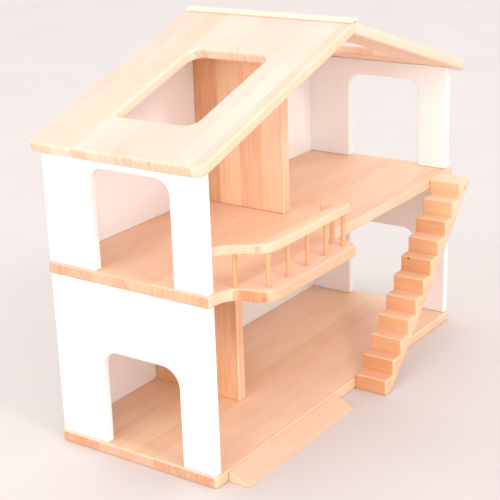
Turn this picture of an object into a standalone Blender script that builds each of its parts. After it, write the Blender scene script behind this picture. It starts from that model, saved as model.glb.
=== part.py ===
"""Wooden dollhouse: two open storeys under a low gable roof, with a balcony, stairs and a loose ramp.

Units are metres. +X runs along the open front, the open front faces -Y and +Z is up.
The origin is the centre of the base board's underside.
"""

import math

import bmesh
import bpy
from mathutils import Matrix, Vector

# Driving dimensions
WIDTH = 0.750  # base board and mid floor, along X
DEPTH = 0.300  # base board and mid floor, along Y
BOARD = 0.018  # thickness of the floors, partitions and roof boards
WALL = 0.015  # thickness of the painted end walls
BACK_WALL = 0.007  # thickness of the back walls
WALL_INSET = 0.003  # walls stand in from the floors' edges by this much
UPPER_RIGHT_WALL_INSET = 0.0055  # the same, for the upper right wall's front edge
MID_FLOOR_OVERHANG = 0.003  # mid floor past the base board's right end
LOWER_HEIGHT = 0.262  # clear height of the lower storey
RIDGE_HEIGHT = 0.303  # from the mid floor's top to the roof's underside at the ridge
ROOF_SLOPE = math.radians(18.0)
EAVE_OVERHANG = 0.021  # roof's underside past the floor's end
FRONT_OVERHANG = 0.015  # roof past the floor's front edge
GAP = 0.0003  # glue line or play between touching pieces

# Doorways and skylights share one window in Y
OPENING_FRONT = 0.0625  # from the front edge of the floors
OPENING_WIDTH = 0.144
LOWER_DOOR_HEIGHT = 0.155
UPPER_DOOR_HEIGHT = 0.158
LOWER_DOOR_RADIUS = 0.030
UPPER_DOOR_RADIUS = 0.024
SKYLIGHT_FROM_RIDGE = 0.115
SKYLIGHT_LENGTH = 0.207
SKYLIGHT_RADIUS = 0.020

# Partitions
LOWER_PARTITION_X = 0.2335 - WIDTH / 2
UPPER_PARTITION_X = 0.0
LOWER_PARTITION_FRONT = 0.116  # front edges, back from the floors' front edge
UPPER_PARTITION_FRONT = 0.114

# Balcony
BALCONY_REACH = 0.0645  # past the floor's front edge
GLUE_LINE_REACH = 0.018  # where the balcony board meets the mid floor
BALCONY_LEFT = 0.020 - WIDTH / 2
BALCONY_RIGHT = 0.302 - WIDTH / 2
BALCONY_CORNER = 0.018
S_CURVE_RADIUS = BALCONY_REACH / 2

# Handrail and balusters
RAIL_UNDERSIDE = 0.051  # above the balcony
RAIL_THICKNESS = 0.015
RAIL_WIDTH = 0.020
RAIL_RETURN_WIDTH = 0.0175
RAIL_FRONT = 0.057  # front face, past the floor's front edge
RAIL_RIGHT = 0.2895 - WIDTH / 2
RAIL_CORNER = 0.005
RAIL_RETURN_END = 0.011  # back end of the return, past the floor's front edge
RAIL_WALL_Y = 0.0045  # front face at the wall, back from the floor's front edge
RAIL_WIDTH_AT_WALL = 0.021
RAIL_STRAIGHT_FROM = 0.1015 - WIDTH / 2  # where the S-bend runs out
RAIL_START_HANDLE = (0.050, -0.019)  # shape of the S-bend at the wall
RAIL_END_HANDLE = 0.060  # and where it runs out
BALUSTER_DIAMETER = 0.007
BALUSTER_SOCKET = 0.008
BALUSTER_PLACES = (
    (0.0540, -0.0070),
    (0.0785, -0.0470),
    (0.1260, -0.0485),
    (0.1780, -0.0485),
    (0.2290, -0.0485),
    (0.2790, -0.0485),
    (0.2820, -0.0270),
)  # from the floor's front left corner

# Stairs
STEPS = 11
STEP_RUN = 0.0264
STAIR_WIDTH = 0.060
STAIR_FOOT_X = 0.3957 - WIDTH / 2  # face of the lowest riser
STAIR_BODY = 0.047  # from the nosing line to the underside, level
PEG_DIAMETER = 0.008
UPPER_PEG = (0.677 - WIDTH / 2, 0.287)  # axes in X and Z
LOWER_PEG = (0.4055 - WIDTH / 2, 0.0075)
PEG_IN_BOARD = 0.012
PEG_SHY = 0.0003  # outer ends below the stairs' outer face
PEG_PLAY = 0.0004

# Ramp
RAMP_LEFT = 0.029 - WIDTH / 2
RAMP_LENGTH = 0.300
RAMP_DEPTH = 0.037
RAMP_TOP = 0.0175
RAMP_TOE = 0.0012
RAMP_CLEARANCE = 0.0008

# Ridge strip
STRIP_WIDTH = 0.015
STRIP_PROUD = 0.0045  # above the roof's apex

# Hidden dowels
DOWEL_DIAMETER = 0.006
DOWEL_DEPTH = 0.012  # into a floor or a roof board
DOWEL_IN_WALL = 0.018
DOWEL_END_PLAY = 0.0006
DOWEL_RADIAL_PLAY = 0.0003
DOWEL_FRONT_Y = 0.032  # back from the floor's front edge
DOWEL_BACK_Y = 0.252
PARTITION_DOWEL_Y = (0.150, 0.255)

# Corners in plan
FLOOR_CORNER = 0.008
MID_FLOOR_RIGHT_CORNER = 0.005
EAVE_CORNER = 0.019

# Rounded edges
FLOOR_EDGE = 0.003
WALL_EDGE = 0.003
BACK_WALL_EDGE = 0.001
PARTITION_EDGE = 0.003
ROOF_EDGE = 0.0045
STRIP_EDGE = 0.0015
RAIL_EDGE = 0.003
STAIR_EDGE = 0.005  # along the outer face
RAMP_EDGE = 0.001
CONTACT_SHARE = 0.5  # of the edge's radius, where a board butts against another
NOSING_SHARE = 0.6  # of the stairs' outer radius, across each step
STAIR_INNER_SHARE = 0.5  # of the same, on the house's side
TOE_SHARE = 0.4

# Facets
SHARP_EDGE = math.radians(50)  # edges that are rounded
ROD_CREASE = math.radians(40)  # edges that stay crisp in a rod's shading
FLAT_ANGLE = math.radians(0.5)  # faces closer than this are one face
EDGE_SEGMENTS = 3
ARC_STEPS = 8
BEND_STEPS = 14
ROUND_SIDES = 12
BALUSTER_SIDES = 16

# Levels and lines that follow from the dimensions above
FRONT = -DEPTH / 2
BACK = DEPTH / 2
LOWER_FLOOR = BOARD
MID_UNDERSIDE = BOARD + LOWER_HEIGHT
UPPER_FLOOR = MID_UNDERSIDE + BOARD
RIDGE = UPPER_FLOOR + RIDGE_HEIGHT
WALL_FACE_X = WIDTH / 2 - WALL_INSET  # outer faces of the end walls
BACK_WALL_FACE = BACK - WALL_INSET - BACK_WALL  # inner face of the back walls
STEP_RISE = UPPER_FLOOR / STEPS

CUT_PAST = 0.018  # bores run on past the surface that they open in
ROUGHNESS = 0.5
WOOD = (0.86, 0.58, 0.36)
WOOD_PALE = (0.88, 0.66, 0.45)
PAINT = (0.93, 0.92, 0.91)


# Scene and material helpers


def clear_scene():
    for obj in list(bpy.data.objects):
        bpy.data.objects.remove(obj, do_unlink=True)


def make_material(name, colour):
    material = bpy.data.materials.new(name)
    material.use_nodes = True
    shader = material.node_tree.nodes["Principled BSDF"]
    shader.inputs["Base Color"].default_value = (*colour, 1.0)
    shader.inputs["Roughness"].default_value = ROUGHNESS
    shader.inputs["Metallic"].default_value = 0.0
    material.diffuse_color = (*colour, 1.0)
    return material


def add_object(name, mesh, colour=None, parent=None):
    obj = bpy.data.objects.new(name, mesh)
    bpy.context.scene.collection.objects.link(obj)
    if colour is not None:
        obj.data.materials.append(make_material(name, colour))
    if parent is not None:
        obj.parent = parent
        obj.matrix_parent_inverse = parent.matrix_basis.inverted()
    return obj


def mesh_from(bm, name):
    bmesh.ops.recalc_face_normals(bm, faces=bm.faces)
    mesh = bpy.data.meshes.new(name)
    bm.to_mesh(mesh)
    bm.free()
    return mesh


# Outline helpers: lists of (u, v) points, counter-clockwise


def arc(centre, radius, start, end):
    """Points on a circle from the angle start to the angle end, in degrees."""
    points = []
    for step in range(ARC_STEPS + 1):
        angle = math.radians(start + (end - start) * step / ARC_STEPS)
        points.append((centre[0] + radius * math.cos(angle), centre[1] + radius * math.sin(angle)))
    return points


def rounded_rectangle(low, high, radius):
    (u0, v0), (u1, v1) = low, high
    return (
        arc((u1 - radius, v0 + radius), radius, -90, 0)
        + arc((u1 - radius, v1 - radius), radius, 0, 90)
        + arc((u0 + radius, v1 - radius), radius, 90, 180)
        + arc((u0 + radius, v0 + radius), radius, 180, 270)
    )


def bend(start, start_handle, end_handle, end):
    """Points on a cubic Bezier curve."""
    points = []
    for step in range(BEND_STEPS + 1):
        t = step / BEND_STEPS
        weights = ((1 - t) ** 3, 3 * t * (1 - t) ** 2, 3 * t * t * (1 - t), t**3)
        corners = (start, start_handle, end_handle, end)
        points.append(tuple(sum(w * c[i] for w, c in zip(weights, corners)) for i in range(2)))
    return points


def prism(name, outline, low, high, holes=()):
    """A plate with this outline in X and Y and these holes, from Z low to Z high."""
    bm = bmesh.new()
    edges = []
    for loop in (outline, *holes):
        ring = [bm.verts.new((u, v, low)) for u, v in loop]
        edges += [bm.edges.new((ring[i - 1], ring[i])) for i in range(len(ring))]
    bmesh.ops.triangle_fill(bm, use_beauty=True, use_dissolve=False, edges=edges)
    extruded = bmesh.ops.extrude_face_region(bm, geom=list(bm.faces))
    top = [item for item in extruded["geom"] if isinstance(item, bmesh.types.BMVert)]
    bmesh.ops.translate(bm, verts=top, vec=(0, 0, high - low))
    bmesh.ops.dissolve_limit(
        bm, angle_limit=FLAT_ANGLE, verts=list(bm.verts), edges=list(bm.edges)
    )
    return mesh_from(bm, name)


def along_x(mesh, x):
    """Turns a plate drawn in (Y, Z) so that its thickness runs along +X from x."""
    mesh.transform(Matrix(((0, 0, 1, x), (1, 0, 0, 0), (0, 1, 0, 0), (0, 0, 0, 1))))
    return mesh


def along_minus_y(mesh, y):
    """Turns a plate drawn in (X, Z) so that its thickness runs along -Y from y."""
    mesh.transform(Matrix(((1, 0, 0, 0), (0, 0, -1, y), (0, 1, 0, 0), (0, 0, 0, 1))))
    return mesh


def rod(name, start, end, diameter, sides=ROUND_SIDES):
    """A cylinder between two points."""
    start, end = Vector(start), Vector(end)
    axis = end - start
    bm = bmesh.new()
    bmesh.ops.create_cone(
        bm, cap_ends=True, segments=sides, radius1=diameter / 2, radius2=diameter / 2, depth=axis.length
    )
    turn = Vector((0, 0, 1)).rotation_difference(axis).to_matrix().to_4x4()
    bmesh.ops.transform(bm, matrix=Matrix.Translation((start + end) / 2) @ turn, verts=bm.verts)
    mesh = mesh_from(bm, name)
    mesh.shade_smooth()
    mesh.set_sharp_from_angle(angle=ROD_CREASE)
    return mesh


def drill(obj, bores):
    """Cuts round bores, each (start, end, diameter), out of the object."""
    bm = bmesh.new()
    for index, (start, end, diameter) in enumerate(bores):
        mesh = rod(f"{obj.name}_bore_{index}", start, end, diameter)
        bm.from_mesh(mesh)
        bpy.data.meshes.remove(mesh)
    cutter = add_object(f"{obj.name}_bores", mesh_from(bm, f"{obj.name}_bores"), parent=obj.parent)
    cutter.hide_render = True
    cutter.display_type = "WIRE"
    modifier = obj.modifiers.new("bores", "BOOLEAN")
    modifier.operation = "DIFFERENCE"
    modifier.object = cutter


def ease(obj, radius, share_at=None):
    """Rounds the sharp outer edges. share_at(middle, along) scales the radius for an edge with this
    middle and direction, and 0 leaves it sharp."""
    bm = bmesh.new()
    bm.from_mesh(obj.data)
    weight = bm.edges.layers.float.new("bevel_weight_edge")
    for edge in bm.edges:
        if edge.is_convex and edge.calc_face_angle(0) > SHARP_EDGE:
            start, end = (vertex.co for vertex in edge.verts)
            along = (end - start).normalized()
            edge[weight] = share_at((start + end) / 2, along) if share_at else 1.0
    bm.to_mesh(obj.data)
    bm.free()
    modifier = obj.modifiers.new("rounded_edges", "BEVEL")
    modifier.limit_method = "WEIGHT"
    modifier.width = radius
    modifier.segments = EDGE_SEGMENTS
    modifier.use_clamp_overlap = False


# Lines that several pieces share


def roof_underside(x):
    """Height of the roof's underside above the origin at x."""
    return RIDGE - abs(x) * math.tan(ROOF_SLOPE)


def roof_frame(side):
    """Matrix from a roof board's own frame to the house: U down the slope from the ridge, V along Y, W up."""
    down = Vector((side * math.cos(ROOF_SLOPE), 0, -math.sin(ROOF_SLOPE)))
    up = Vector((side * math.sin(ROOF_SLOPE), 0, math.cos(ROOF_SLOPE)))
    depth = Vector((0, 1, 0))
    matrix = Matrix.Identity(4)
    for column, axis in enumerate((down, depth, up)):
        matrix.col[column][:3] = axis
    matrix.col[3][:3] = (0, 0, RIDGE)
    return matrix


def balcony_outline():
    """The balcony's edge, from its left root to its right root at the floor's front edge."""
    radius = S_CURVE_RADIUS
    tip = FRONT - BALCONY_REACH
    first = (BALCONY_LEFT, FRONT - radius)
    second = (BALCONY_LEFT + 2 * radius, FRONT - radius)
    return [
        *arc(first, radius, 90, 0),
        *arc(second, radius, 180, 270)[1:],
        *arc((BALCONY_RIGHT - BALCONY_CORNER, tip + BALCONY_CORNER), BALCONY_CORNER, -90, 0),
        (BALCONY_RIGHT, FRONT),
    ]


def clip_before(points, limit):
    """The points whose depth is in front of the line Y = limit, with the two crossings added."""
    kept = []
    for before, after in zip(points, points[1:]):
        if (before[1] < limit) != (after[1] < limit):
            share = (limit - before[1]) / (after[1] - before[1])
            kept.append((before[0] + share * (after[0] - before[0]), limit))
        if after[1] < limit:
            kept.append(after)
    return kept


def dowel_lines():
    """Every hidden dowel: its name, its two ends and the boards that it joins."""
    lines = []
    wall_x = WALL_FACE_X - WALL / 2
    for side, side_name in ((-1, "left"), (1, "right")):
        for place, y in (("front", FRONT + DOWEL_FRONT_Y), ("back", FRONT + DOWEL_BACK_Y)):
            x = side * wall_x
            lines.append((
                f"base_dowel_{side_name}_{place}",
                (x, y, LOWER_FLOOR - DOWEL_DEPTH),
                (x, y, LOWER_FLOOR + DOWEL_IN_WALL),
                ("base_board", f"lower_{side_name}_wall"),
            ))
            lines.append((
                f"floor_dowel_{side_name}_{place}",
                (x, y, MID_UNDERSIDE - DOWEL_IN_WALL),
                (x, y, UPPER_FLOOR + DOWEL_IN_WALL),
                (f"lower_{side_name}_wall", "mid_floor", f"upper_{side_name}_wall"),
            ))
            top = roof_underside(x)
            lines.append((
                f"roof_dowel_{side_name}_{place}",
                (x, y, top - DOWEL_IN_WALL),
                (x, y, top + DOWEL_DEPTH),
                (f"upper_{side_name}_wall", f"roof_board_{side_name}"),
            ))
    for place, back in zip(("front", "back"), PARTITION_DOWEL_Y):
        y = FRONT + back
        for name, x, floor, boards, sign in (
            ("partition_foot_dowel", LOWER_PARTITION_X, LOWER_FLOOR, ("base_board", "lower_partition"), 1),
            ("partition_head_dowel", LOWER_PARTITION_X, MID_UNDERSIDE, ("mid_floor", "lower_partition"), -1),
            ("upper_partition_dowel", UPPER_PARTITION_X, UPPER_FLOOR, ("mid_floor", "upper_partition"), 1),
        ):
            ends = sorted((floor - sign * DOWEL_DEPTH, floor + sign * DOWEL_IN_WALL))
            lines.append((f"{name}_{place}", (x, y, ends[0]), (x, y, ends[1]), boards))
    return lines


# Pieces


def make_floors(house):
    low = (-WIDTH / 2, FRONT)
    high = (WIDTH / 2, BACK)
    outline = rounded_rectangle(low, high, FLOOR_CORNER)
    base = add_object("base_board", prism("base_board", outline, 0, BOARD), WOOD, house)
    ease(base, FLOOR_EDGE)

    glue_line = FRONT - GLUE_LINE_REACH
    curve = balcony_outline()
    left_root = [point for point in curve[: ARC_STEPS + 1] if point[1] > glue_line]
    seam_left = clip_before(curve, glue_line)[0]
    right = high[0] + MID_FLOOR_OVERHANG
    corner = MID_FLOOR_RIGHT_CORNER
    mid_outline = [
        *arc((low[0] + FLOOR_CORNER, FRONT + FLOOR_CORNER), FLOOR_CORNER, 180, 270),
        *left_root,
        seam_left,
        (BALCONY_RIGHT, glue_line),
        (BALCONY_RIGHT, FRONT),
        *arc((right - corner, FRONT + corner), corner, -90, 0),
        *arc((right - corner, BACK - corner), corner, 0, 90),
        *arc((low[0] + FLOOR_CORNER, BACK - FLOOR_CORNER), FLOOR_CORNER, 90, 180),
    ]
    mid = add_object("mid_floor", prism("mid_floor", mid_outline, MID_UNDERSIDE, UPPER_FLOOR), WOOD, house)
    balcony_points = clip_before(curve, glue_line - GAP)
    balcony_mesh = prism("balcony_board", balcony_points, MID_UNDERSIDE, UPPER_FLOOR)
    balcony = add_object("balcony_board", balcony_mesh, WOOD_PALE, house)

    def off_the_seam(middle, _):
        return 0.0 if abs(middle.y - glue_line) < 2 * GAP else 1.0

    ease(mid, FLOOR_EDGE, off_the_seam)
    ease(balcony, FLOOR_EDGE, off_the_seam)
    return {"base_board": base, "mid_floor": mid, "balcony_board": balcony}


def less_at_contacts(low, high):
    """Edge shares for a board that stands between the levels low and high, and butts against both."""

    def share_at(middle, _):
        return CONTACT_SHARE if middle.z < low or middle.z > high else 1.0

    return share_at


def doorway_wall(name, x, floor, tops, door_height, door_radius, inset, house):
    """An end wall with a doorway open down to the floor. tops are its heights at its low and high X faces."""
    y0 = FRONT + inset
    y1 = BACK - WALL_INSET
    door0 = FRONT + OPENING_FRONT
    door1 = door0 + OPENING_WIDTH
    foot = floor + GAP
    top = max(tops)
    lintel = floor + door_height
    outline = [
        (y0, foot),
        (door0, foot),
        *arc((door0 + door_radius, lintel - door_radius), door_radius, 180, 90),
        *arc((door1 - door_radius, lintel - door_radius), door_radius, 90, 0),
        (door1, foot),
        (y1, foot),
        (y1, top),
        (y0, top),
    ]
    mesh = along_x(prism(name, outline, 0, WALL), x)
    for vertex in mesh.vertices:
        if vertex.co.z > top - GAP:
            vertex.co.z = tops[0] if vertex.co.x < x + WALL / 2 else tops[1]
    wall = add_object(name, mesh, PAINT, house)
    ease(wall, WALL_EDGE, less_at_contacts(foot + GAP, min(tops) - GAP))
    return wall


def make_walls(house):
    walls = {}
    for side, side_name in ((-1, "left"), (1, "right")):
        x = min(side * WALL_FACE_X, side * (WALL_FACE_X - WALL))
        lower_top = MID_UNDERSIDE - GAP
        name = f"lower_{side_name}_wall"
        walls[name] = doorway_wall(
            name,
            x,
            LOWER_FLOOR,
            (lower_top, lower_top),
            LOWER_DOOR_HEIGHT,
            LOWER_DOOR_RADIUS,
            WALL_INSET,
            house,
        )
        tops = tuple(roof_underside(face) - GAP for face in (x, x + WALL))
        name = f"upper_{side_name}_wall"
        inset = WALL_INSET if side < 0 else UPPER_RIGHT_WALL_INSET
        walls[name] = doorway_wall(
            name, x, UPPER_FLOOR, tops, UPPER_DOOR_HEIGHT, UPPER_DOOR_RADIUS, inset, house
        )

    reach = WALL_FACE_X - WALL - GAP
    lower = [
        (-reach, LOWER_FLOOR + GAP),
        (reach, LOWER_FLOOR + GAP),
        (reach, MID_UNDERSIDE - GAP),
        (-reach, MID_UNDERSIDE - GAP),
    ]
    upper = [
        (-reach, UPPER_FLOOR + GAP),
        (reach, UPPER_FLOOR + GAP),
        (reach, roof_underside(reach) - GAP),
        (0, RIDGE - GAP),
        (-reach, roof_underside(reach) - GAP),
    ]
    for name, outline in (("lower_back_wall", lower), ("upper_back_wall", upper)):
        mesh = along_minus_y(prism(name, outline, 0, BACK_WALL), BACK_WALL_FACE + BACK_WALL)
        walls[name] = add_object(name, mesh, PAINT, house)
        ease(walls[name], BACK_WALL_EDGE)
    return walls


def make_partitions(house):
    y1 = BACK_WALL_FACE - GAP
    half = BOARD / 2
    lower_outline = [
        (LOWER_PARTITION_X - half, LOWER_FLOOR + GAP),
        (LOWER_PARTITION_X + half, LOWER_FLOOR + GAP),
        (LOWER_PARTITION_X + half, MID_UNDERSIDE - GAP),
        (LOWER_PARTITION_X - half, MID_UNDERSIDE - GAP),
    ]
    shoulder = roof_underside(half) - GAP
    upper_outline = [
        (-half, UPPER_FLOOR + GAP),
        (half, UPPER_FLOOR + GAP),
        (half, shoulder),
        (0, RIDGE - GAP),
        (-half, shoulder),
    ]
    pieces = {}
    for name, outline, front, low, high in (
        ("lower_partition", lower_outline, LOWER_PARTITION_FRONT, LOWER_FLOOR, MID_UNDERSIDE),
        ("upper_partition", upper_outline, UPPER_PARTITION_FRONT, UPPER_FLOOR, shoulder),
    ):
        mesh = along_minus_y(prism(name, outline, 0, y1 - FRONT - front), y1)
        pieces[name] = add_object(name, mesh, WOOD, house)
        ease(pieces[name], PARTITION_EDGE, less_at_contacts(low + 2 * GAP, high - 2 * GAP))
    return pieces


def make_roof(house):
    length = (WIDTH / 2 + EAVE_OVERHANG) / math.cos(ROOF_SLOPE)
    y0 = FRONT - FRONT_OVERHANG
    sky0 = (SKYLIGHT_FROM_RIDGE, FRONT + OPENING_FRONT)
    sky1 = (SKYLIGHT_FROM_RIDGE + SKYLIGHT_LENGTH, FRONT + OPENING_FRONT + OPENING_WIDTH)
    outline = [
        (0, y0),
        *arc((length - EAVE_CORNER, y0 + EAVE_CORNER), EAVE_CORNER, -90, 0),
        *arc((length - EAVE_CORNER, BACK - EAVE_CORNER), EAVE_CORNER, 0, 90),
        (0, BACK),
    ]
    skylight = rounded_rectangle(sky0, sky1, SKYLIGHT_RADIUS)
    boards = {}

    def off_the_mitre(middle, _):
        return 0.0 if abs(middle.x) < GAP else 1.0

    for side, side_name in ((-1, "left"), (1, "right")):
        name = f"roof_board_{side_name}"
        mesh = prism(name, outline, 0, BOARD, [skylight])
        mitre = math.tan(ROOF_SLOPE)
        for vertex in mesh.vertices:
            if vertex.co.x < GAP:
                vertex.co.x = GAP / 2 - vertex.co.z * mitre
        mesh.transform(roof_frame(side))
        if side < 0:
            mesh.flip_normals()
        boards[name] = add_object(name, mesh, WOOD, house)
        ease(boards[name], ROOF_EDGE, off_the_mitre)

    apex = RIDGE + BOARD / math.cos(ROOF_SLOPE) + GAP
    half = STRIP_WIDTH / 2
    flank = apex - half * math.tan(ROOF_SLOPE)
    strip_outline = [
        (-half, flank),
        (0, apex),
        (half, flank),
        (half, apex + STRIP_PROUD),
        (-half, apex + STRIP_PROUD),
    ]
    mesh = along_minus_y(prism("ridge_strip", strip_outline, 0, DEPTH + FRONT_OVERHANG), BACK)
    strip = add_object("ridge_strip", mesh, WOOD_PALE, house)
    ease(strip, STRIP_EDGE)
    return boards


def rail_path():
    """The handrail's front face, from the left wall to the return's back end."""
    start = (-WALL_FACE_X + WALL + GAP, FRONT + RAIL_WALL_Y)
    straight = (RAIL_STRAIGHT_FROM, FRONT - RAIL_FRONT)
    start_handle = (start[0] + RAIL_START_HANDLE[0], start[1] + RAIL_START_HANDLE[1])
    end_handle = (straight[0] - RAIL_END_HANDLE, straight[1])
    corner = (RAIL_RIGHT - RAIL_CORNER, FRONT - RAIL_FRONT + RAIL_CORNER)
    return [
        *bend(start, start_handle, end_handle, straight),
        *arc(corner, RAIL_CORNER, -90, 0),
        (RAIL_RIGHT, FRONT - RAIL_RETURN_END),
    ]


def offset_left(points, distance):
    """The same path, moved to its left by distance."""
    moved = []
    for index, point in enumerate(points):
        before = points[max(index - 1, 0)]
        after = points[min(index + 1, len(points) - 1)]
        run = (after[0] - before[0], after[1] - before[1])
        size = math.hypot(*run)
        moved.append((point[0] - run[1] / size * distance, point[1] + run[0] / size * distance))
    return moved


def make_balcony_rail(house):
    front = rail_path()
    inner_corner = (RAIL_RIGHT - RAIL_RETURN_WIDTH, FRONT - RAIL_FRONT + RAIL_WIDTH)
    curved = offset_left(front[: BEND_STEPS + 1], RAIL_WIDTH)
    wall_x = front[0][0]
    inner = [point for point in curved if point[0] > wall_x]
    start_y = front[0][1] + RAIL_WIDTH_AT_WALL
    outline = [
        *front,
        (RAIL_RIGHT - RAIL_RETURN_WIDTH, FRONT - RAIL_RETURN_END),
        inner_corner,
        *reversed(inner),
        (wall_x, start_y),
    ]
    low = UPPER_FLOOR + RAIL_UNDERSIDE
    mesh = prism("handrail", outline, low, low + RAIL_THICKNESS)
    rail = add_object("handrail", mesh, WOOD_PALE, house)
    ease(rail, RAIL_EDGE)

    sockets = []
    for index, (x, y) in enumerate(BALUSTER_PLACES, 1):
        place = (x - WIDTH / 2, FRONT + y)
        bottom = (*place, UPPER_FLOOR - BALUSTER_SOCKET + GAP)
        top = (*place, low + BALUSTER_SOCKET - GAP)
        name = f"baluster_{index}"
        mesh = rod(name, bottom, top, BALUSTER_DIAMETER, BALUSTER_SIDES)
        add_object(name, mesh, WOOD_PALE, house)
        sockets.append(place)
    wide = BALUSTER_DIAMETER + 2 * GAP
    drill(rail, [((x, y, low - CUT_PAST), (x, y, low + BALUSTER_SOCKET), wide) for x, y in sockets])
    return rail, sockets


def stair_outline():
    """The stairs' side view in X and Z: a sawtooth top and a straight underside."""
    points = []
    for step in range(STEPS):
        x = STAIR_FOOT_X + step * STEP_RUN
        points += [(x, step * STEP_RISE), (x, (step + 1) * STEP_RISE)]
    top_x = STAIR_FOOT_X + (STEPS - 1) * STEP_RUN + STAIR_BODY
    foot_x = top_x - STEPS * STEP_RUN
    points += [(top_x, UPPER_FLOOR), (foot_x, 0)]
    return list(reversed(points))


def make_stairs():
    back = FRONT - GAP
    outer_face = back - STAIR_WIDTH
    mover = bpy.data.objects.new("stairs_slide", None)
    mover.location = (UPPER_PEG[0], back, UPPER_PEG[1])
    bpy.context.scene.collection.objects.link(mover)

    mesh = along_minus_y(prism("stairs", stair_outline(), 0, STAIR_WIDTH), back)
    stairs = add_object("stairs", mesh, WOOD, mover)

    def most_outside(middle, along):
        if abs(along.y) > 0.5:
            return NOSING_SHARE
        return 1.0 if middle.y < outer_face + GAP else STAIR_INNER_SHARE

    ease(stairs, STAIR_EDGE, most_outside)
    bores = []
    for name, (x, z) in (("stair_peg_upper", UPPER_PEG), ("stair_peg_lower", LOWER_PEG)):
        start = (x, outer_face + PEG_SHY, z)
        end = (x, FRONT + PEG_IN_BOARD - DOWEL_END_PLAY, z)
        add_object(name, rod(name, start, end, PEG_DIAMETER), WOOD_PALE, mover)
        outside = (x, outer_face - CUT_PAST, z)
        inside = (x, back + CUT_PAST, z)
        bores.append((outside, inside, PEG_DIAMETER + 2 * DOWEL_RADIAL_PLAY))
    drill(stairs, bores)


def make_ramp():
    """A wedge that leads from the ground up to the base board's top, standing free in front of it."""
    back = FRONT - RAMP_CLEARANCE
    mover = bpy.data.objects.new("ramp_slide", None)
    mover.location = (RAMP_LEFT + RAMP_LENGTH / 2, back, 0)
    bpy.context.scene.collection.objects.link(mover)
    outline = [(back, 0), (back, RAMP_TOP), (back - RAMP_DEPTH, RAMP_TOE), (back - RAMP_DEPTH, 0)]
    mesh = along_x(prism("ramp", outline, 0, RAMP_LENGTH), RAMP_LEFT)
    ramp = add_object("ramp", mesh, WOOD_PALE, mover)

    def less_at_the_toe(middle, _):
        return TOE_SHARE if middle.y < back - RAMP_DEPTH + GAP else 1.0

    ease(ramp, RAMP_EDGE, less_at_the_toe)


def make_dowels(boards, house):
    """Adds the hidden dowels and returns the bores that each board needs for them."""
    bores = {name: [] for name in boards}
    for name, low, high, joined in dowel_lines():
        inner_low = (*low[:2], low[2] + DOWEL_END_PLAY)
        inner_high = (*high[:2], high[2] - DOWEL_END_PLAY)
        add_object(name, rod(name, inner_low, inner_high, DOWEL_DIAMETER), WOOD_PALE, house)
        for board in joined:
            bores[board].append((low, high, DOWEL_DIAMETER + 2 * DOWEL_RADIAL_PLAY))
    return bores


def main():
    clear_scene()
    house = bpy.data.objects.new("house", None)
    bpy.context.scene.collection.objects.link(house)
    boards = make_floors(house)
    boards.update(make_walls(house))
    boards.update(make_partitions(house))
    boards.update(make_roof(house))
    rail, sockets = make_balcony_rail(house)
    make_stairs()
    make_ramp()
    bores = make_dowels(boards, house)

    wide = BALUSTER_DIAMETER + 2 * GAP
    glue_line = FRONT - GLUE_LINE_REACH
    for x, y in sockets:
        bore = ((x, y, UPPER_FLOOR - BALUSTER_SOCKET), (x, y, UPPER_FLOOR + CUT_PAST), wide)
        if y + wide > glue_line:
            bores["mid_floor"].append(bore)
        if y - wide < glue_line:
            bores["balcony_board"].append(bore)
    peg_bore = PEG_DIAMETER + 2 * PEG_PLAY
    for board, (x, z) in (("mid_floor", UPPER_PEG), ("base_board", LOWER_PEG)):
        bores[board].append(((x, FRONT - CUT_PAST, z), (x, FRONT + PEG_IN_BOARD, z), peg_bore))
    for name, cuts in bores.items():
        if cuts:
            drill(boards[name], cuts)


main()
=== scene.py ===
"""Looks for the wooden dollhouse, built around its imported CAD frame. Units are metres."""

import math

import bmesh
import bpy
from mathutils import Matrix, Vector

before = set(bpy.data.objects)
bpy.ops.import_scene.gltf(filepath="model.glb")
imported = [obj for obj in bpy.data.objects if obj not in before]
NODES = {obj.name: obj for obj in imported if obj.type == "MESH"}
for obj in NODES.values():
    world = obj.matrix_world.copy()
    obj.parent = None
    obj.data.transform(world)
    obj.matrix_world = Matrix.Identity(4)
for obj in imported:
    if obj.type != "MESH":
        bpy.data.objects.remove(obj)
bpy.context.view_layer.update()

# Camera, in the house's frame
CAMERA_PLACE = (-1.6723, -1.1366, 0.9367)
CAMERA_YAW = math.radians(35.18)
CAMERA_PITCH = math.radians(19.31)
CAMERA_ROLL = math.radians(-1.87)
CAMERA_LENS = 92.0
SENSOR_WIDTH = 36.0
CLIP_END = 50.0

# Lights and floor
LIGHT_TARGET = Vector((0, 0, 0.3))
LIGHT_COLOUR = (1.0, 0.98, 0.98)
LIGHTS = (
    ("key", (-1.5, -6.0, 6.6), 1.5, 144),
    ("fill", (-5.7, -6.0, 2.6), 4.8, 144),
    ("left", (-7.8, -0.3, 1.8), 3.4, 205),
)  # name, place, side of the square and watts
WORLD_STRENGTH = 1.25
FLOOR_RADIUS = 6.0  # it ends in front of every light, so that no light's edge falls on it
FLOOR_SIDES = 96
FLOOR_DROP = 0.0002  # under the base board
FLOOR_CLOUD = 3.0
FLOOR_ROUGHNESS = 0.7

# Smooth shading of the faceted nodes
WELD_DISTANCE = 0.00001
CREASE_ANGLE = math.radians(38)
FACE_WEIGHT = 100  # large faces keep their own normals

# Noise. Scales are in waves to the metre; a pair is along the grain and across it.
NOISE_SPAN = (0.3, 0.7)  # a noise keeps mostly between these
CLOUD = 6.0
FIGURE = (4.5, 24.0)
FIBRE = (16.0, 420.0)
PORES = (80.0, 1700.0)
RINGS = (90.0, 900.0, 40.0)  # on end grain: along the board, across the staves and through it

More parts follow.
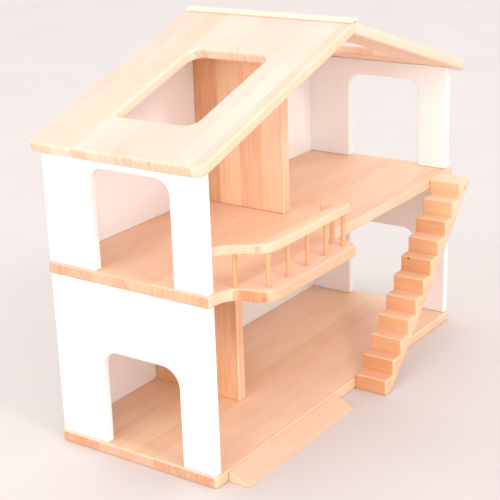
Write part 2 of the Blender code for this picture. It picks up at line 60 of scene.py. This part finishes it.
# Staves, the glued strips that the boards are made of
STAVE = 0.046  # mean width
STAVE_WOBBLE = 0.35  # how far an edge strays from even spacing, in staves
STAVE_WAVE = 1.7  # how fast that changes, in radians to the stave
FIRST_EDGE = 3.0  # metres below zero, so that no stave's number is negative
SEED_EDGE = 0.013  # how far one seed moves the edges
SEED_NUMBER = 17.0  # how far one seed moves the staves' numbers
WARMTH_NUMBER = 0.5  # sets a stave's warmth apart from its lot
STAVE_SHIFT = 9.0  # how far the grain of a dark stave is moved from that of a light one

# Wood
FIGURE_SHARE = (0.05, 0.40)  # how dark the figure makes the wood
CLOUD_SHARE = 0.15
HUE_STRENGTH = 0.6
FLECK_SPAN = (0.66, 0.80)
FLECK_STRENGTH = 0.14
RING_SPAN = (0.42, 0.62)
RING_WARMTH = (0.2, 1.0)
RING_STRENGTH = (0.15, 0.75)
TOP_NORMAL = (0.6, 0.98)  # the normal's upward part, from a side to the painted lit top
END_NORMAL = (0.6, 0.8)  # the normal's part along the grain, from side grain to end grain
EDGE_NORMAL = (0.80, 0.97)  # the normal's longest part, from a rounded edge to a flat face; the painted edge highlight fades over it
HALO_SIZE = 3.0  # of a knot, in its radii
HALO_STRENGTH = 0.35
SPOT_SIZES = (0.6, 1.1)
PORE_HEIGHT = 0.6
WOOD_BUMP = (0.20, 0.0003)  # strength, and metres
WOOD_ROUGHNESS = (0.42, 0.54)
ROOF_SLOPE = math.radians(18)

# Paint
PAINT_CLOUD = 9.0
PAINT_SPAN = (0.35, 0.65)
STIPPLE = 900.0
PAINT_BUMP = (0.12, 0.0002)
PAINT_ROUGHNESS = (0.36, 0.46)


# Small node-tree helpers


class Tree:
    """A material's nodes, with short calls that add one node and give back its output."""

    def __init__(self, material):
        material.use_nodes = True
        self.nodes = material.node_tree.nodes
        self.links = material.node_tree.links
        self.shader = self.nodes["Principled BSDF"]

    def plug(self, value, socket):
        if isinstance(value, bpy.types.NodeSocket):
            self.links.new(value, socket)
        elif value is not None:
            socket.default_value = value

    def math(self, operation, first, second=None):
        node = self.nodes.new("ShaderNodeMath")
        node.operation = operation
        self.plug(first, node.inputs[0])
        self.plug(second, node.inputs[1])
        return node.outputs[0]

    def vector(self, operation, first, second=None):
        node = self.nodes.new("ShaderNodeVectorMath")
        node.operation = operation
        self.plug(first, node.inputs[0])
        self.plug(second, node.inputs[1])
        return node.outputs["Value" if operation == "LENGTH" else "Vector"]

    def noise(self, place, scale=1.0, detail=2.0, roughness=0.5, distortion=0.0):
        node = self.nodes.new("ShaderNodeTexNoise")
        self.plug(place, node.inputs["Vector"])
        node.inputs["Scale"].default_value = scale
        node.inputs["Detail"].default_value = detail
        node.inputs["Roughness"].default_value = roughness
        node.inputs["Distortion"].default_value = distortion
        return node.outputs["Fac"]

    def white_noise(self, value):
        node = self.nodes.new("ShaderNodeTexWhiteNoise")
        node.noise_dimensions = "1D"
        self.plug(value, node.inputs["W"])
        return node.outputs["Value"]

    def fit(self, value, low, high, to_low=0.0, to_high=1.0, curve="LINEAR"):
        node = self.nodes.new("ShaderNodeMapRange")
        node.interpolation_type = curve
        for amount, socket in zip((value, low, high, to_low, to_high), node.inputs):
            self.plug(amount, socket)
        return node.outputs["Result"]

    def mix(self, share, first, second, blend="MIX"):
        node = self.nodes.new("ShaderNodeMix")
        node.data_type = "RGBA"
        node.blend_type = blend
        self.plug(share, node.inputs[0])
        self.plug(first, node.inputs[6])
        self.plug(second, node.inputs[7])
        return node.outputs[2]

    def random_staves(self, side, seed):
        """The lot and the warmth of the stave at this side, in staves of uneven width."""
        steps = self.math("DIVIDE", self.math("ADD", side, FIRST_EDGE + seed * SEED_EDGE), STAVE)
        wave = self.math("SINE", self.math("MULTIPLY", steps, STAVE_WAVE))
        uneven = self.math("ADD", steps, self.math("MULTIPLY", wave, STAVE_WOBBLE))
        number = self.math("ADD", self.math("FLOOR", uneven), seed * SEED_NUMBER)
        return self.white_noise(number), self.white_noise(self.math("ADD", number, WARMTH_NUMBER))

    def known_staves(self, side, staves):
        """The same, from a list of (low side, lot, warmth)."""
        node = self.nodes.new("ShaderNodeValToRGB")
        node.color_ramp.interpolation = "CONSTANT"
        first, last = staves[0][0], staves[-1][0]
        self.plug(self.fit(side, first, last), node.inputs[0])
        elements = node.color_ramp.elements
        while len(elements) < len(staves):
            elements.new(1.0)
        for element, (low, lot, warmth) in zip(elements, staves):
            element.position = (low - first) / (last - first)
            element.color = (lot, warmth, 0.0, 1.0)
        return self.split(node.outputs["Color"])[:2]

    def split(self, value):
        node = self.nodes.new("ShaderNodeSeparateXYZ")
        self.plug(value, node.inputs[0])
        return node.outputs

    def join(self, x, y, z):
        node = self.nodes.new("ShaderNodeCombineXYZ")
        for value, socket in zip((x, y, z), node.inputs):
            self.plug(value, socket)
        return node.outputs[0]

    def coordinates(self, turn, kind="Object"):
        """Object coordinates, or object-space normals, turned by the Euler angles in turn."""
        source = self.nodes.new("ShaderNodeTexCoord")
        node = self.nodes.new("ShaderNodeVectorRotate")
        node.rotation_type = "EULER_XYZ"
        self.plug(source.outputs[kind], node.inputs["Vector"])
        node.inputs["Rotation"].default_value = turn
        return node.outputs[0]

    def bump(self, height, strength, distance):
        node = self.nodes.new("ShaderNodeBump")
        self.plug(height, node.inputs["Height"])
        node.inputs["Strength"].default_value = strength
        node.inputs["Distance"].default_value = distance
        self.links.new(node.outputs["Normal"], self.shader.inputs["Normal"])


def from_srgb(red, green, blue):
    """A linear colour from screen values of 0 to 255."""
    linear = []
    for value in (red, green, blue):
        share = value / 255
        linear.append(share / 12.92 if share <= 0.04045 else ((share + 0.055) / 1.055) ** 2.4)
    return (*linear, 1.0)


# Materials


def wood(
    name,
    tones,
    turn=(0, 0, 0),
    across=1,
    contrast=0.4,
    grain=0.15,
    ends=1.0,
    pale_ends=0.8,
    edge_highlight=0.3,
    seed=0.0,
    knots=(),
    top=None,
    staves=(),
):
    """Oiled beech in glued staves.

    tones are its light, dark and end-grain colours. After the turn, the grain runs along X, and the
    staves lie side by side along Y (across=1) or Z (across=2). contrast is how far the staves differ,
    grain the strength of the fine streaks, ends the strength of the end grain, pale_ends how much
    paler it is in some staves, and edge_highlight how much paler the rounded edges are painted, a
    painted highlight for the light they catch. knots are (centre, radius) pairs in the house's
    frame, and top is the (light, dark) pair of the face that looks up: painted light, a top coloured
    apart from the sides for how light falls on it.
    The staves are random and follow the seed, unless they are given as (low side, lot, warmth): lot
    0 is light and 1 is dark, and warmth 0 is golden and 1 is rosy.
    """
    light, dark, end = tones
    material = bpy.data.materials.new(name)
    tree = Tree(material)
    place = tree.coordinates(turn)
    along, y, z = tree.split(place)
    side, depth = (y, z) if across == 1 else (z, y)
    lot, warmth = tree.known_staves(side, staves) if staves else tree.random_staves(side, seed)
    shift = tree.math("MULTIPLY", lot, STAVE_SHIFT)

    def streaks(scales, detail, distortion=0.0):
        """Noise drawn out along the grain, at another place in each stave."""
        lengthwise, crosswise = scales
        stretched = tree.join(
            tree.math("MULTIPLY", tree.math("ADD", along, shift), lengthwise),
            tree.math("MULTIPLY", tree.math("ADD", side, shift), crosswise),
            tree.math("MULTIPLY", depth, crosswise),
        )
        return tree.noise(stretched, detail=detail, distortion=distortion)

    cloud = tree.noise(place, CLOUD)
    figure = streaks(FIGURE, detail=2.0, distortion=1.0)
    fibre = streaks(FIBRE, detail=3.0)
    pores = streaks(PORES, detail=1.0)

    # Side grain. The share is 0 where the wood is light and 1 where it is dark.
    share = tree.fit(figure, *NOISE_SPAN, *FIGURE_SHARE)
    share = tree.math("ADD", share, tree.math("MULTIPLY", lot, contrast))
    share = tree.math("ADD", share, tree.fit(cloud, *NOISE_SPAN, -CLOUD_SHARE, CLOUD_SHARE))
    share = tree.math("ADD", share, tree.fit(fibre, *NOISE_SPAN, -grain, grain))
    share = tree.fit(share, 0.0, 1.0)
    colour = tree.mix(share, light, dark)
    normal = tree.split(tree.coordinates(turn, "Normal"))
    # Painted light: a face that looks up takes the top pair, lighter or darker than the sides for how
    # light falls on it
    if top:
        lit_top_share = tree.fit(normal[2], *TOP_NORMAL, 0.0, 1.0, "SMOOTHSTEP")
        colour = tree.mix(lit_top_share, colour, tree.mix(share, *top))
    colour = tree.mix(HUE_STRENGTH, colour, tree.mix(warmth, GOLDEN, ROSY), "MULTIPLY")
    fleck = tree.fit(pores, *FLECK_SPAN, 0.0, FLECK_STRENGTH, "SMOOTHSTEP")
    colour = tree.mix(fleck, colour, dark, "MULTIPLY")

    # End grain: growth rings seen on end as fine ticks, plain in one stave and strong in the next
    stretched = tree.vector("MULTIPLY", tree.join(along, side, depth), RINGS)
    rings = tree.fit(tree.noise(stretched, roughness=0.6, distortion=0.4), *RING_SPAN)
    ticks = tree.math("MULTIPLY", rings, tree.fit(warmth, *RING_WARMTH, *RING_STRENGTH))
    sawn = tree.mix(tree.math("MULTIPLY", lot, pale_ends), end, light)
    sawn = tree.mix(ticks, sawn, END_SHADE, "MULTIPLY")
    facing_end = tree.math("ABSOLUTE", normal[0])
    colour = tree.mix(tree.fit(facing_end, *END_NORMAL, 0.0, ends, "SMOOTHSTEP"), colour, sawn)

    # Painted highlight on the rounded edges, where the longest part of the normal is well under 1: they
    # are made paler for the light they catch
    longest = tree.math("MAXIMUM", facing_end, tree.math("ABSOLUTE", normal[1]))
    longest = tree.math("MAXIMUM", longest, tree.math("ABSOLUTE", normal[2]))
    colour = tree.mix(tree.fit(longest, *EDGE_NORMAL, edge_highlight, 0.0, "SMOOTHSTEP"), colour, light)

    for centre, radius in knots:
        source = tree.nodes.new("ShaderNodeTexCoord")
        distance = tree.vector("LENGTH", tree.vector("SUBTRACT", source.outputs["Object"], centre))
        halo = tree.fit(distance, radius, radius * HALO_SIZE, HALO_STRENGTH, 0.0, "SMOOTHSTEP")
        colour = tree.mix(halo, colour, END_SHADE, "MULTIPLY")
        inner, outer = SPOT_SIZES
        spot = tree.fit(distance, radius * inner, radius * outer, 1.0, 0.0, "SMOOTHSTEP")
        colour = tree.mix(spot, colour, KNOT)

    tree.links.new(colour, tree.shader.inputs["Base Color"])
    tree.links.new(tree.fit(fibre, *NOISE_SPAN, *WOOD_ROUGHNESS), tree.shader.inputs["Roughness"])
    tree.bump(tree.math("ADD", fibre, tree.math("MULTIPLY", pores, PORE_HEIGHT)), *WOOD_BUMP)
    return material


def paint(name, colour, shade):
    """Satin white paint on board: a fine roller stipple, and slow changes of tone."""
    material = bpy.data.materials.new(name)
    tree = Tree(material)
    place = tree.coordinates((0, 0, 0))
    slow = tree.fit(tree.noise(place, PAINT_CLOUD), *PAINT_SPAN)
    stipple = tree.noise(place, STIPPLE, roughness=0.6)
    tree.links.new(tree.mix(slow, colour, shade), tree.shader.inputs["Base Color"])
    tree.links.new(tree.fit(stipple, *NOISE_SPAN, *PAINT_ROUGHNESS), tree.shader.inputs["Roughness"])
    tree.bump(stipple, *PAINT_BUMP)
    return material


# Wood colours: light, dark and end grain. A top has no end grain.
BASE_TONES = (from_srgb(245, 218, 192), from_srgb(232, 186, 150), from_srgb(212, 160, 128))
MID_TONES = (from_srgb(243, 214, 188), from_srgb(231, 182, 146), from_srgb(228, 176, 144))
PARTITION_TONES = (from_srgb(250, 221, 190), from_srgb(218, 159, 113), from_srgb(240, 194, 156))
ROOF_TONES = (from_srgb(248, 226, 208), from_srgb(238, 203, 176), from_srgb(225, 185, 155))
# The top pairs are painted light: the roof's top, the balcony's top and the treads are coloured apart from
# their sides for how light falls on them, and the balcony's sides are painted darker as shade
ROOF_LIT_TOP = (from_srgb(241, 211, 201), from_srgb(234, 189, 169))
BALCONY_TONES = (from_srgb(238, 198, 166), from_srgb(228, 176, 138), from_srgb(210, 150, 104))
BALCONY_LIT_TOP = (from_srgb(242, 212, 190), from_srgb(232, 188, 158))
RAIL_TONES = (from_srgb(238, 208, 180), from_srgb(228, 182, 152), from_srgb(206, 150, 110))
ROD_TONES = (from_srgb(230, 187, 147), from_srgb(214, 160, 116), from_srgb(214, 160, 112))
PEG_TONES = (from_srgb(238, 204, 174), from_srgb(222, 176, 138), from_srgb(232, 190, 156))
RIDGE_TONES = (from_srgb(246, 225, 214), from_srgb(238, 207, 190), from_srgb(240, 204, 168))
STAIR_TONES = (from_srgb(237, 197, 156), from_srgb(214, 153, 108), from_srgb(240, 208, 184))
STAIR_LIT_TOP = (from_srgb(243, 214, 192), from_srgb(228, 179, 144))
RAMP_TONES = (from_srgb(238, 204, 180), from_srgb(226, 178, 148), from_srgb(232, 184, 142))

# Other colours
ROSY = from_srgb(255, 239, 238)
GOLDEN = from_srgb(255, 247, 234)
END_SHADE = from_srgb(220, 154, 110)
KNOT = from_srgb(62, 28, 14)
PAINT_TONES = (from_srgb(244, 243, 242), from_srgb(243, 241, 240))
FLOOR_TONES = (from_srgb(208, 201, 198), from_srgb(212, 205, 202))

# Turns that lay the grain along X
QUARTER = math.pi / 2
UPRIGHT = (0, QUARTER, 0)  # from grain along Z
ACROSS = (0, 0, QUARTER)  # from grain along Y

# Staves and bands of tone set after the photo, as (low side, lot, warmth)
UPPER_PARTITION_STAVES = (
    (-0.040, 0.15, 1.0),
    (0.005, 0.50, 1.0),
    (0.049, 0.10, 0.0),
    (0.092, 1.00, 0.1),
    (0.145, 0.50, 0.5),
)  # from the front, along Y
STAIR_STAVES = (
    (0.000, 0.90, 0.6),
    (0.054, 0.60, 0.3),
    (0.108, 0.70, 0.6),
    (0.150, 0.75, 0.2),
    (0.190, 0.45, 0.4),
    (0.218, 0.70, 0.1),
    (0.244, 0.00, 0.1),
    (0.300, 0.00, 0.1),
)  # from the ground, along Z, where a row is a run of risers of one tone
LOWER_PARTITION_STAVES = (
    # The first row is painted light: the partition's front edge is made pale for the light falling on it
    # from the front
    (-0.040, 0.20, 0.9),
    (-0.0315, 1.00, 0.4),
    (0.012, 0.80, 0.2),
    (0.060, 1.00, 0.1),
    (0.104, 0.70, 0.3),
    (0.145, 0.50, 0.5),
)  # from the front, along Y, where the first row is only the pale front edge
KNOT_IN_STAIRS = ((0.1795, -0.1650, 0.1860), 0.0017)  # centre and radius


def dress(material, *names):
    """Gives the named nodes this material in place of their own."""
    for name in names:
        slots = NODES[name].data.materials
        slots.clear()
        slots.append(material)


def dress_nodes():
    for seed, side, slope in ((1.0, "left", ROOF_SLOPE), (2.0, "right", -ROOF_SLOPE)):
        roof_wood = wood(
            f"roof_wood_{side}",
            ROOF_TONES,
            (0, slope, 0),
            contrast=0.65,
            grain=0.06,
            pale_ends=0.6,
            edge_highlight=0.0,
            seed=seed,
            top=ROOF_LIT_TOP,
        )
        dress(roof_wood, f"roof_board_{side}")
    dress(wood("base_wood", BASE_TONES, pale_ends=0.2, seed=3.0), "base_board")
    dress(wood("mid_wood", MID_TONES, pale_ends=0.0, edge_highlight=0.0, seed=4.0), "mid_floor")
    balcony_wood = wood(
        "balcony_wood",
        BALCONY_TONES,
        pale_ends=0.2,
        edge_highlight=0.0,
        seed=5.0,
        top=BALCONY_LIT_TOP,
    )
    dress(balcony_wood, "balcony_board")
    for name, staves in (
        ("lower_partition", LOWER_PARTITION_STAVES),
        ("upper_partition", UPPER_PARTITION_STAVES),
    ):
        dress(wood(f"{name}_wood", PARTITION_TONES, UPRIGHT, contrast=0.6, staves=staves), name)
    dress(wood("ridge_wood", RIDGE_TONES, ACROSS, seed=8.0), "ridge_strip")
    dress(wood("rail_wood", RAIL_TONES, ends=0.6, edge_highlight=0.0, seed=9.0), "handrail")
    stair_wood = wood(
        "stair_wood",
        STAIR_TONES,
        ACROSS,
        across=2,
        contrast=0.7,
        ends=0.8,
        edge_highlight=0.8,
        knots=(KNOT_IN_STAIRS,),
        top=STAIR_LIT_TOP,
        staves=STAIR_STAVES,
    )
    dress(stair_wood, "stairs")
    dress(wood("ramp_wood", RAMP_TONES, seed=11.0), "ramp")
    rod_wood = wood("rod_wood", ROD_TONES, UPRIGHT, edge_highlight=0.0, seed=12.0)
    dress(rod_wood, *[name for name in NODES if name.startswith("baluster") or "dowel" in name])
    dress(wood("peg_wood", PEG_TONES, ACROSS, edge_highlight=0.0, seed=13.0), "stair_peg_upper", "stair_peg_lower")
    dress(paint("white_paint", *PAINT_TONES), *[name for name in NODES if name.endswith("_wall")])


# Shading


def make_smoother():
    """Geometry nodes that join a node's loose triangles and shade its rounded edges smoothly."""
    group = bpy.data.node_groups.new("smooth_edges", "GeometryNodeTree")
    group.interface.new_socket("Geometry", in_out="INPUT", socket_type="NodeSocketGeometry")
    group.interface.new_socket("Geometry", in_out="OUTPUT", socket_type="NodeSocketGeometry")
    nodes, links = group.nodes, group.links
    chain = [nodes.new("NodeGroupInput")]
    bare = nodes.new("GeometryNodeRemoveAttribute")
    bare.inputs["Name"].default_value = "custom_normal"
    weld = nodes.new("GeometryNodeMergeByDistance")
    weld.inputs["Distance"].default_value = WELD_DISTANCE
    faces = nodes.new("GeometryNodeSetShadeSmooth")
    faces.domain = "FACE"
    edges = nodes.new("GeometryNodeSetShadeSmooth")
    edges.domain = "EDGE"
    edges.inputs["Shade Smooth"].default_value = False
    angle = nodes.new("GeometryNodeInputMeshEdgeAngle")
    crease = nodes.new("FunctionNodeCompare")
    crease.operation = "GREATER_THAN"
    crease.inputs[1].default_value = CREASE_ANGLE
    links.new(angle.outputs["Unsigned Angle"], crease.inputs[0])
    links.new(crease.outputs[0], edges.inputs["Selection"])
    chain += [bare, weld, faces, edges, nodes.new("NodeGroupOutput")]
    for before, after in zip(chain, chain[1:]):
        links.new(before.outputs[0], after.inputs[0])
    return group


def smooth_nodes():
    group = make_smoother()
    for node in NODES.values():
        modifier = node.modifiers.new("smooth_edges", "NODES")
        modifier.node_group = group
        weighted = node.modifiers.new("flat_faces", "WEIGHTED_NORMAL")
        weighted.keep_sharp = True
        weighted.weight = FACE_WEIGHT


# Camera, light and stage


def make_camera():
    """The photo's view of the house."""
    forward = Vector((
        math.cos(CAMERA_YAW) * math.cos(CAMERA_PITCH),
        math.sin(CAMERA_YAW) * math.cos(CAMERA_PITCH),
        -math.sin(CAMERA_PITCH),
    ))
    level = forward.cross(Vector((0, 0, 1))).normalized()
    upright = level.cross(forward)
    right = math.cos(CAMERA_ROLL) * level + math.sin(CAMERA_ROLL) * upright
    up = math.cos(CAMERA_ROLL) * upright - math.sin(CAMERA_ROLL) * level
    data = bpy.data.cameras.new("camera")
    data.lens = CAMERA_LENS
    data.sensor_width = SENSOR_WIDTH
    data.clip_end = CLIP_END
    camera = bpy.data.objects.new("camera", data)
    matrix = Matrix.Identity(4)
    for column, axis in enumerate((right, up, -forward)):
        matrix.col[column][:3] = axis
    matrix.col[3][:3] = CAMERA_PLACE
    camera.matrix_world = matrix
    bpy.context.scene.collection.objects.link(camera)
    bpy.context.scene.camera = camera


def make_light(name, place, size, power):
    """A square studio light that faces the house."""
    data = bpy.data.lights.new(name, "AREA")
    data.shape = "SQUARE"
    data.size = size
    data.energy = power
    data.color = LIGHT_COLOUR
    light = bpy.data.objects.new(name, data)
    light.location = place
    light.rotation_euler = (LIGHT_TARGET - Vector(place)).to_track_quat("-Z", "Y").to_euler()
    bpy.context.scene.collection.objects.link(light)


def make_stage():
    """A plain floor, an even sky and the lights."""
    bm = bmesh.new()
    bmesh.ops.create_circle(bm, cap_ends=True, segments=FLOOR_SIDES, radius=FLOOR_RADIUS)
    mesh = bpy.data.meshes.new("floor")
    bm.to_mesh(mesh)
    bm.free()
    floor = bpy.data.objects.new("floor", mesh)
    floor.location.z = -FLOOR_DROP
    bpy.context.scene.collection.objects.link(floor)
    material = bpy.data.materials.new("floor")
    tree = Tree(material)
    place = tree.coordinates((0, 0, 0))
    cloud = tree.fit(tree.noise(place, FLOOR_CLOUD), *NOISE_SPAN)
    tree.links.new(tree.mix(cloud, *FLOOR_TONES), tree.shader.inputs["Base Color"])
    tree.shader.inputs["Roughness"].default_value = FLOOR_ROUGHNESS
    mesh.materials.append(material)

    world = bpy.data.worlds.new("world")
    bpy.context.scene.world = world
    world.use_nodes = True
    background = world.node_tree.nodes["Background"]
    background.inputs["Color"].default_value = (*LIGHT_COLOUR, 1.0)
    background.inputs["Strength"].default_value = WORLD_STRENGTH
    bpy.context.scene.view_settings.view_transform = "Standard"
    for light in LIGHTS:
        make_light(*light)


dress_nodes()
smooth_nodes()
make_camera()
make_stage()
